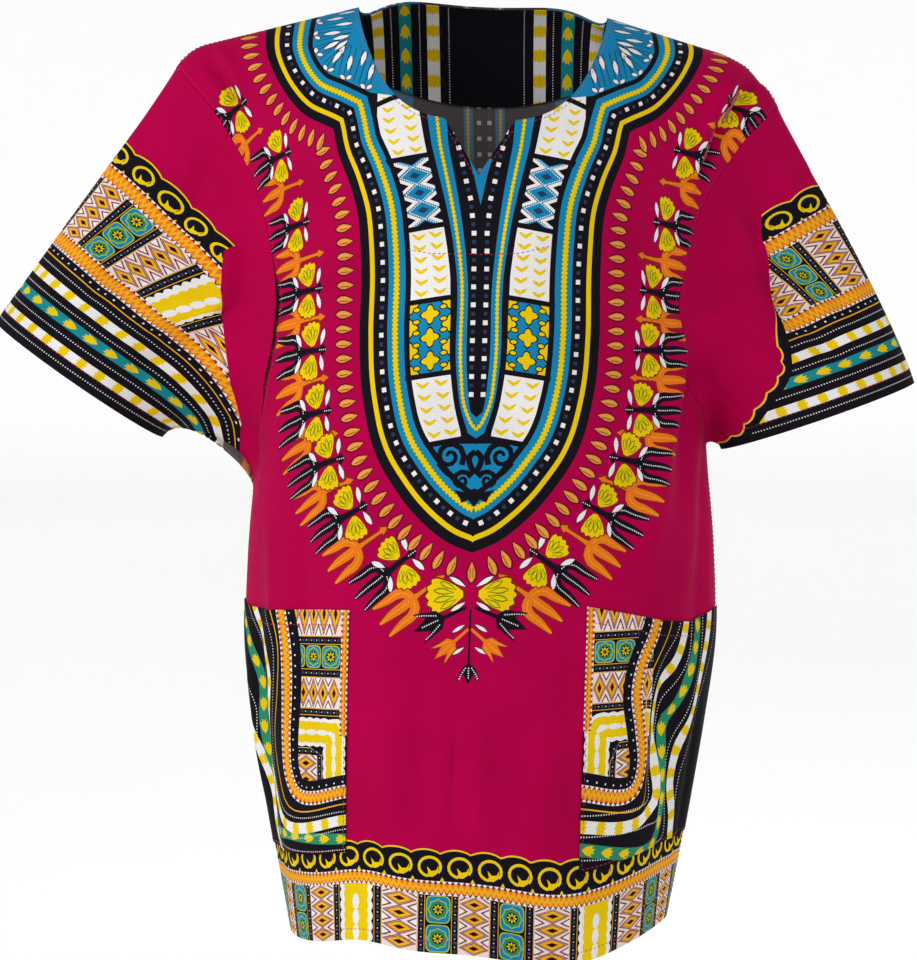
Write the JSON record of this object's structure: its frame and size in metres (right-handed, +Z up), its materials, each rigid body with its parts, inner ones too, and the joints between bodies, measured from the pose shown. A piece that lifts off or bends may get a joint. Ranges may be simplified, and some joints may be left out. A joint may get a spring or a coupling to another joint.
{
  "type": "dashiki shirt",
  "caption": "Short-sleeved cotton pullover in the hollow shape it has when worn: round slit neck, drop shoulders, patch pockets on the lower front.",
  "frame": {"origin": "on the shoulder line, midway between the ends of the neckline, where the wearer's shoulders carry the shirt", "axes": "+Z up, -Y towards the front of the shirt, +X towards the wearer's left sleeve"},
  "size_m": [0.7553, 0.3161, 0.7744],
  "materials": {
    "printed_cotton": "matt plain-weave cotton, wax-style print on a crimson ground",
    "border_cotton": "matt plain-weave cotton, printed border stripes and blocks",
    "facing_cotton": "matt plain-weave cotton, black with printed stripes"
  },
  "bodies": {
    "root": {"front_panel": "printed_cotton", "back_panel": "printed_cotton", "sleeve_left": "printed_cotton", "sleeve_right": "printed_cotton", "pocket_left": "border_cotton", "pocket_right": "border_cotton", "back_neck_facing": "facing_cotton"}
  },
  "joints": []
}
